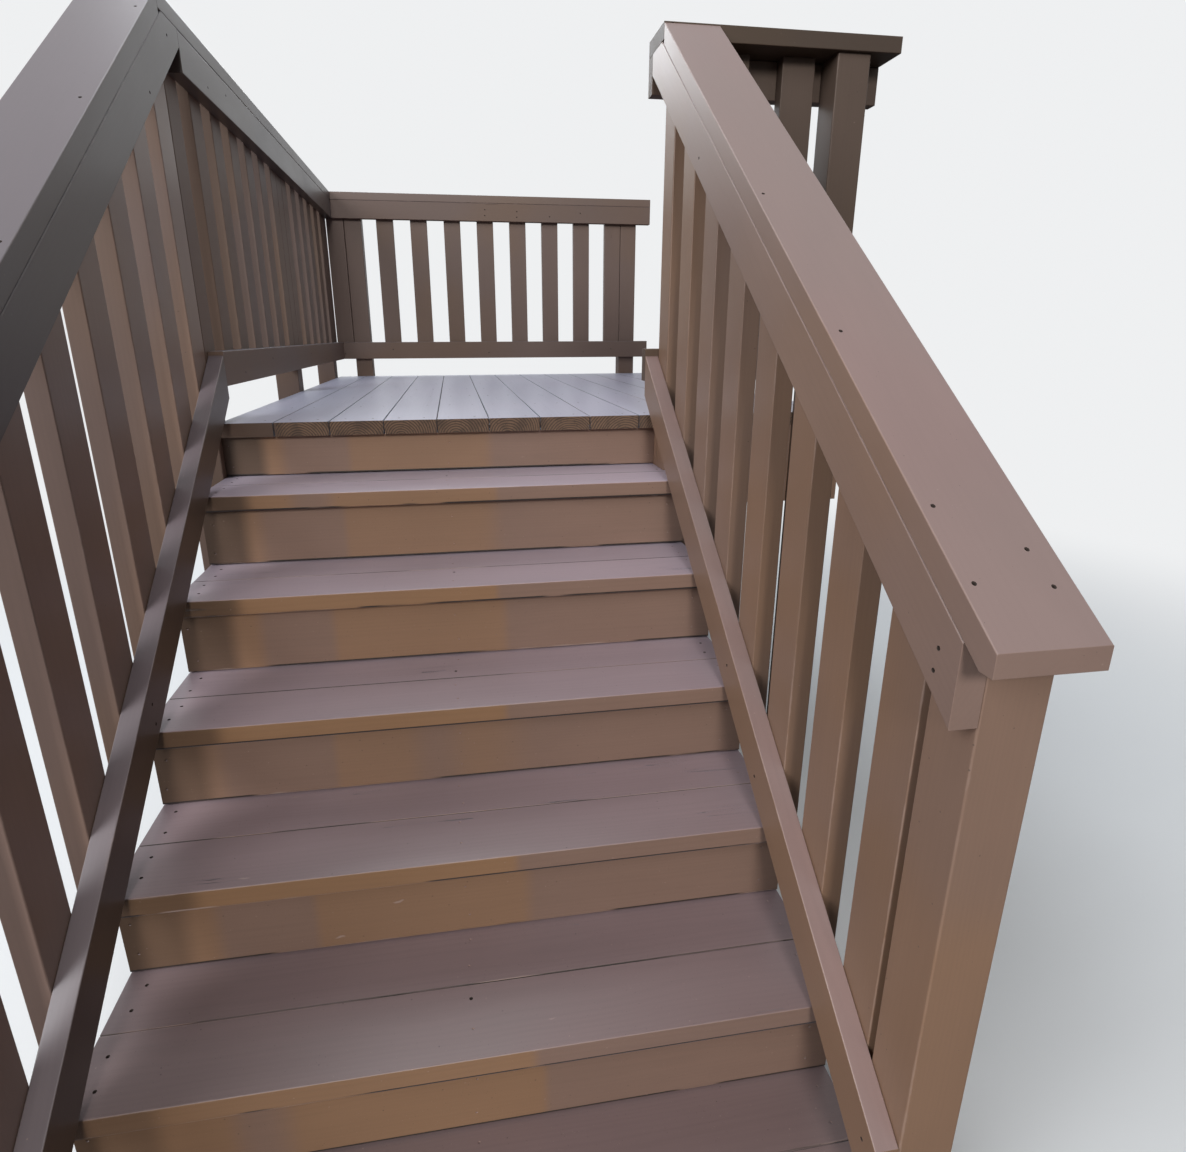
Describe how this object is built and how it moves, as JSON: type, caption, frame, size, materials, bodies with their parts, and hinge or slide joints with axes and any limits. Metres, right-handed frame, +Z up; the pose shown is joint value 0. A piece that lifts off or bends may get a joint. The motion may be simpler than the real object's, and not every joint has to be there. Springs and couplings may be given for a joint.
{
  "type": "deck stairs",
  "caption": "Painted timber deck stairs with closed risers, board guards and flat caps, rising to a railed landing on posts.",
  "frame": {"origin": "floor level, under the middle of the overall box", "axes": "+Y up the flight towards the back of the landing, +X towards the landing's open side, +Z up"},
  "size_m": [1.893, 3.865, 2.163],
  "materials": {
    "tread": "worn mauve-brown paint",
    "riser": "warm brown paint",
    "rail": "satin brown paint",
    "post": "satin brown paint",
    "frame": "brown paint"
  },
  "bodies": {
    "root": {"stringer_left": "frame", "stringer_center": "frame", "stringer_right": "frame", "tread_1": "tread", "tread_2": "tread", "tread_3": "tread", "tread_4": "tread", "tread_5": "tread", "tread_6": "tread", "risers": "riser", "deck_boards": "tread", "rim_front": "frame", "rim_back": "frame", "rim_left": "frame", "rim_right": "frame", "joists": "frame", "front_fascia": "frame", "newel_left": "post", "newel_right": "post", "posts_left": "post", "post_back_left": "post", "post_back_right": "post", "post_front_right": "post", "post_stair_top": "post", "stair_left_cap": "rail", "stair_left_sub_rail": "rail", "stair_left_bottom_rail": "rail", "stair_left_balusters": "rail", "stair_right_cap": "rail", "stair_right_sub_rail": "rail", "stair_right_bottom_rail": "rail", "stair_right_balusters": "rail", "landing_left_cap": "rail", "landing_left_sub_rail": "rail", "landing_left_bottom_rail": "rail", "landing_left_balusters": "rail", "landing_back_cap": "rail", "landing_back_sub_rail": "rail", "landing_back_bottom_rail": "rail", "landing_back_balusters": "rail", "front_right_cap": "rail", "front_right_sub_rail": "rail", "front_right_bottom_rail": "rail", "front_right_balusters": "rail"}
  },
  "joints": []
}
